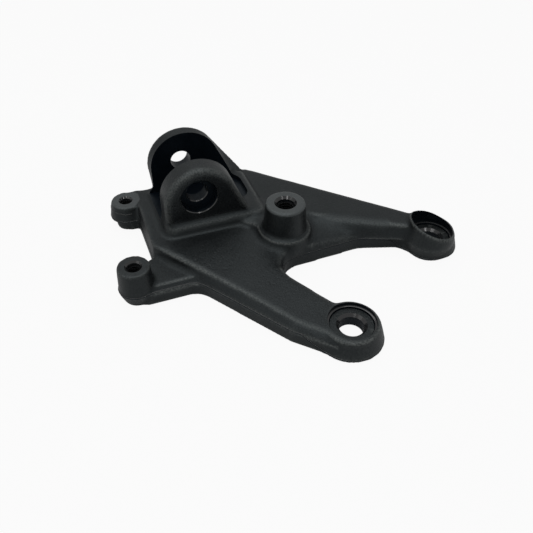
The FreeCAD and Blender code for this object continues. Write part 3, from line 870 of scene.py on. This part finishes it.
def thread_tree():
    """A ridge wound round the axis. Its ends taper into the wall."""
    tree = bpy.data.node_groups.new("thread_ridge", "GeometryNodeTree")
    graph = Graph(tree)
    kinds = {name: "NodeSocketFloat"
             for name in ("Radius", "Height", "Turns", "Rise", "Base", "Crest")}
    kinds["Material"] = "NodeSocketMaterial"
    add_socket = tree.interface.new_socket
    add_socket(name="Geometry", in_out="INPUT", socket_type="NodeSocketGeometry")
    add_socket(name="Geometry", in_out="OUTPUT", socket_type="NodeSocketGeometry")
    inputs = {name: add_socket(name=name, in_out="INPUT", socket_type=kind)
              for name, kind in kinds.items()}
    given = graph.node("NodeGroupInput").outputs

    def clamped(first, second):
        made = graph.node("ShaderNodeMath", {"operation": "MULTIPLY", "use_clamp": True},
                          {0: first, 1: second})
        return Value(graph, made.outputs[0])

    spiral = graph.node("GeometryNodeCurveSpiral", {}, {
        "Resolution": THREAD_TURN_STEPS, "Rotations": given["Turns"],
        "Start Radius": given["Radius"], "End Radius": given["Radius"],
        "Height": given["Height"]})
    upright_curve = graph.node(
        "GeometryNodeSetCurveNormal", {"mode": "Z_UP"}, {"Curve": spiral.outputs[0]})
    # The ridge grows over its first turn and fades over its last.
    along = Value(graph, graph.node("GeometryNodeSplineParameter").outputs["Factor"])
    taper = clamped(along, given["Turns"]) * clamped(1.0 - along, given["Turns"])
    profile = graph.node("GeometryNodeCurvePrimitiveQuadrilateral", {"mode": "TRAPEZOID"}, {
        "Bottom Width": given["Base"], "Top Width": given["Crest"], "Height": given["Rise"],
        "Offset": 0.0})
    swept = graph.node("GeometryNodeCurveToMesh", {}, {
        "Curve": upright_curve.outputs[0], "Profile Curve": profile.outputs[0],
        "Scale": taper.math("MAXIMUM", taper, THREAD_END), "Fill Caps": True})
    realized = graph.node("GeometryNodeRealizeInstances", {}, {"Geometry": swept.outputs[0]})
    painted = graph.node("GeometryNodeSetMaterial", {}, {
        "Geometry": realized.outputs[0], "Material": given["Material"]})
    graph.node("NodeGroupOutput", {}, {0: painted.outputs[0]})
    return tree, {name: socket.identifier for name, socket in inputs.items()}


def grown(name, tree, values):
    """A plain mesh object made by a node tree. values holds its inputs by identifier."""
    thing = new_object(name, bpy.data.meshes.new(name))
    modifier = thing.modifiers.new("nodes", "NODES")
    modifier.node_group = tree
    for identifier, value in values.items():
        modifier[identifier] = value
    thing.update_tag()
    bpy.context.view_layer.update()
    settle(thing)
    return thing


def weld(mesh, angle):
    """Close the mesh's seams, point its faces outwards and set its creases."""
    bm = bmesh.new()
    bm.from_mesh(mesh)
    bmesh.ops.remove_doubles(bm, verts=bm.verts, dist=WELD)
    bmesh.ops.recalc_face_normals(bm, faces=bm.faces)
    bm.to_mesh(mesh)
    bm.free()
    sharpen(mesh, angle)


class HANGER_OT_threads(bpy.types.Operator):
    """Wind the threads of the tapped holes"""
    bl_idname = "hanger.threads"
    bl_label = "Threads"

    def execute(self, context):
        material = casting_materials()[EDGE]
        tree, sockets = thread_tree()
        for name, hole in THREADS.items():
            groove = hole.outer + GROOVE_GAP
            length = hole.top - hole.chamfer - hole.low - hole.pitch
            # The wall's half of the profile lies in the metal.
            values = {
                "Radius": groove * MM, "Height": length * MM, "Turns": length / hole.pitch,
                "Rise": 2 * (groove - hole.root) * MM,
                "Base": THREAD_BASE * hole.pitch * MM,
                "Crest": THREAD_CREST * hole.pitch * MM, "Material": material,
            }
            piece = grown(name, tree, {sockets[key]: value for key, value in values.items()})
            start = Vector((*hole.place, hole.low + hole.pitch / 2)) * MM
            piece.data.transform(Matrix.Translation(start))
            if len(piece.data.polygons) < THREAD_LEAST:
                raise RuntimeError(name + " came out empty")
            weld(piece.data, THREAD_CREASE)
            finished(piece)
        return {"FINISHED"}


def sink(vert):
    """How far the parting line dips at a vertex."""
    total = 0.0
    for centre, inner, outer, depth in DIPS:
        away = math.hypot(vert.co.x / MM - centre[0], vert.co.y / MM - centre[1])
        total += depth * MM * min(1.0, max(0.0, (outer - away) / (outer - inner)))
    return total


def section_loop(mesh, height):
    """The longest closed line where the mesh meets a level that dips round the bolts."""
    bm = bmesh.new()
    bm.from_mesh(mesh)
    for vert in bm.verts:
        vert.co.z += sink(vert)
    everything = bm.verts[:] + bm.edges[:] + bm.faces[:]
    cut = bmesh.ops.bisect_plane(
        bm, geom=everything, dist=WELD, plane_co=(0, 0, height), plane_no=(0, 0, 1))
    edges = [item for item in cut["geom_cut"] if isinstance(item, bmesh.types.BMEdge)]
    beside = {}
    for edge in edges:
        for vert in edge.verts:
            beside.setdefault(vert, []).append(edge.other_vert(vert))
    loops, seen = [], set()
    for start in beside:
        if start in seen:
            continue
        loop, here = [], start
        while here and here not in seen:
            seen.add(here)
            loop.append(here)
            here = next((other for other in beside[here] if other not in seen), None)
        loops.append(loop)
    longest = max(loops, key=len)
    points = [vert.co - Vector((0, 0, sink(vert))) for vert in longest]
    bm.free()
    return points


def add_bead(name, points, closed, radius, finish):
    """A thin round bead along points, its thickness a little uneven."""
    curve = bpy.data.curves.new(name, "CURVE")
    curve.dimensions = "3D"
    curve.bevel_depth = radius
    curve.bevel_resolution = 1
    curve.use_fill_caps = True
    spline = curve.splines.new("POLY")
    spline.points.add(len(points) - 1)
    for point, place in zip(spline.points, points):
        point.co = (*place, 1.0)
        point.radius = BEAD_MEAN + BEAD_SWING * noise.noise(place * BEAD_WAVES)
    spline.use_cyclic_u = closed
    path = new_object(name, curve)
    graph = bpy.context.evaluated_depsgraph_get()
    mesh = bpy.data.meshes.new_from_object(path.evaluated_get(graph))
    bpy.data.objects.remove(path)
    mesh.materials.clear()
    mesh.materials.append(casting_materials()[finish])
    weld(mesh, BEAD_CREASE)
    finished(new_object(name, mesh))


class HANGER_OT_parting_line(bpy.types.Operator):
    """Lay the thin bead of flash along the line where the mould's halves met, with a dark bead
    under it as its painted shadow
    """
    bl_idname = "hanger.parting_line"
    bl_label = "Parting Line"

    def execute(self, context):
        flash = context.scene.hanger_cast.flash
        casting = bpy.data.objects["hanger_casting"]
        points = section_loop(casting.data, PARTING_Z * MM)[::BEAD_EVERY]
        lower = [point - Vector((0, 0, SHADOW_DROP * MM)) for point in points]
        add_bead("parting_line", points, True, flash, EDGE)
        # Painted shadow: a dark bead in the machined finish just under the flash.
        add_bead("parting_seam", lower, True, flash * SHADOW_WIDER, CUT)
        burr = []
        for x, y in arc(LUG, BURR_RADIUS, BURR_START, BURR_END, BURR_STEPS):
            wave = noise.noise(Vector((x, y, 0.0)) * BURR_WAVES)
            burr.append(Vector((x, y, BURR_Z + BURR_SWING * wave)) * MM)
        add_bead("lug_burr", burr, False, flash, EDGE)
        return {"FINISHED"}


def floor_material(colour):
    """A pale floor that the camera sees as white, with the shadow left on it."""
    material, graph = new_graph("floor_paper")
    spot = graph.node("ShaderNodeTexCoord").outputs["Object"]
    fibres = graph.noise(spot, scale=300.0, detail=2.0)
    paper = graph.node("ShaderNodeBsdfDiffuse", {}, {
        "Color": (*colour, 1.0), "Normal": graph.bump(fibres, depth=0.00001, strength=0.1)})
    glow = graph.node("ShaderNodeEmission", {}, {"Color": (1, 1, 1, 1), "Strength": 1.0})
    path = graph.node("ShaderNodeLightPath")
    seen = Value(graph, path.outputs["Is Camera Ray"])
    both = graph.node("ShaderNodeMixShader", {}, {
        0: seen * FLOOR_WHITE, 1: paper.outputs[0], 2: glow.outputs[0]})
    graph.node("ShaderNodeOutputMaterial", {}, {"Surface": both.outputs[0]})
    return material


def white_world():
    """A dim room that the camera sees as white."""
    world = bpy.data.worlds.new("studio")
    world.use_nodes = True
    graph = Graph(world.node_tree)
    path = graph.node("ShaderNodeLightPath")
    seen = Value(graph, path.outputs["Is Camera Ray"])
    strength = seen * (1.0 - ROOM_LIGHT) + ROOM_LIGHT
    back = graph.node("ShaderNodeBackground", {}, {"Color": (1, 1, 1, 1), "Strength": strength})
    graph.node("ShaderNodeOutputWorld", {}, {"Surface": back.outputs[0]})
    return world


def add_lamp(name, power, width, height, spot, target):
    """An area lamp turned towards a target, in millimetres."""
    lamp = bpy.data.lights.new(name, "AREA")
    lamp.shape = "RECTANGLE"
    lamp.size = width * MM
    lamp.size_y = height * MM
    lamp.energy = power
    thing = new_object(name, lamp)
    thing.location = Vector(spot) * MM
    look = Vector(target) - Vector(spot)
    thing.rotation_euler = look.to_track_quat("-Z", "Y").to_euler()


class HANGER_OT_stage(bpy.types.Operator):
    """Set the floor, the lamps and the camera"""
    bl_idname = "hanger.stage"
    bl_label = "Stage"

    def execute(self, context):
        settings = context.scene.hanger_stage
        bm = bmesh.new()
        bmesh.ops.create_grid(bm, x_segments=1, y_segments=1, size=FLOOR_REACH)
        mesh = bpy.data.meshes.new("floor")
        bm.to_mesh(mesh)
        bm.free()
        mesh.materials.append(floor_material(settings.floor))
        floor = new_object("floor", mesh)
        floor.location.z = -FLOOR_DROP
        for name, (setting, width, height, spot) in LAMPS.items():
            add_lamp(name, getattr(settings, setting), width, height, spot, LAMP_TARGET)
        context.scene.world = white_world()
        context.scene.view_settings.view_transform = "Standard"

        camera = bpy.data.cameras.new("camera")
        camera.sensor_width = SENSOR
        camera.lens = FOCAL_PIXELS / PHOTO_PIXELS * SENSOR
        camera.clip_start = CLIP_START
        thing = new_object("camera", camera)
        turn = Matrix.Rotation(math.radians(-CAMERA_TURN), 4, "Z")
        pitch = Matrix.Rotation(math.radians(90.0 - CAMERA_PITCH), 4, "X")
        roll = Matrix.Rotation(math.radians(CAMERA_ROLL), 4, "Z")
        thing.matrix_world = Matrix.Translation(Vector(CAMERA_SPOT) * MM) @ turn @ pitch @ roll
        context.scene.camera = thing
        return {"FINISHED"}


class HANGER_PT_panel(bpy.types.Panel):
    bl_label = "Footrest Hanger"
    bl_idname = "HANGER_PT_panel"
    bl_space_type = "VIEW_3D"
    bl_region_type = "UI"
    bl_category = "Hanger"

    def draw(self, context):
        for name in ("hanger_cast", "hanger_finish", "hanger_stage"):
            settings = getattr(context.scene, name)
            box = self.layout.box()
            for key in settings.__annotations__:
                box.prop(settings, key)
        for operator in OPERATORS:
            self.layout.operator(operator.bl_idname)


SETTINGS = {
    "hanger_cast": HangerCastSettings,
    "hanger_finish": HangerFinishSettings,
    "hanger_stage": HangerStageSettings,
}
OPERATORS = [HANGER_OT_casting, HANGER_OT_threads, HANGER_OT_parting_line, HANGER_OT_stage]


def register():
    for name, settings in SETTINGS.items():
        bpy.utils.register_class(settings)
        setattr(bpy.types.Scene, name, PointerProperty(type=settings))
    for operator in OPERATORS:
        bpy.utils.register_class(operator)
    bpy.utils.register_class(HANGER_PT_panel)


def unregister():
    bpy.utils.unregister_class(HANGER_PT_panel)
    for operator in reversed(OPERATORS):
        bpy.utils.unregister_class(operator)
    for name, settings in SETTINGS.items():
        delattr(bpy.types.Scene, name)
        bpy.utils.unregister_class(settings)


def main():
    register()
    bpy.ops.hanger.casting()
    bpy.ops.hanger.threads()
    bpy.ops.hanger.parting_line()
    bpy.ops.hanger.stage()


if __name__ == "__main__":
    main()
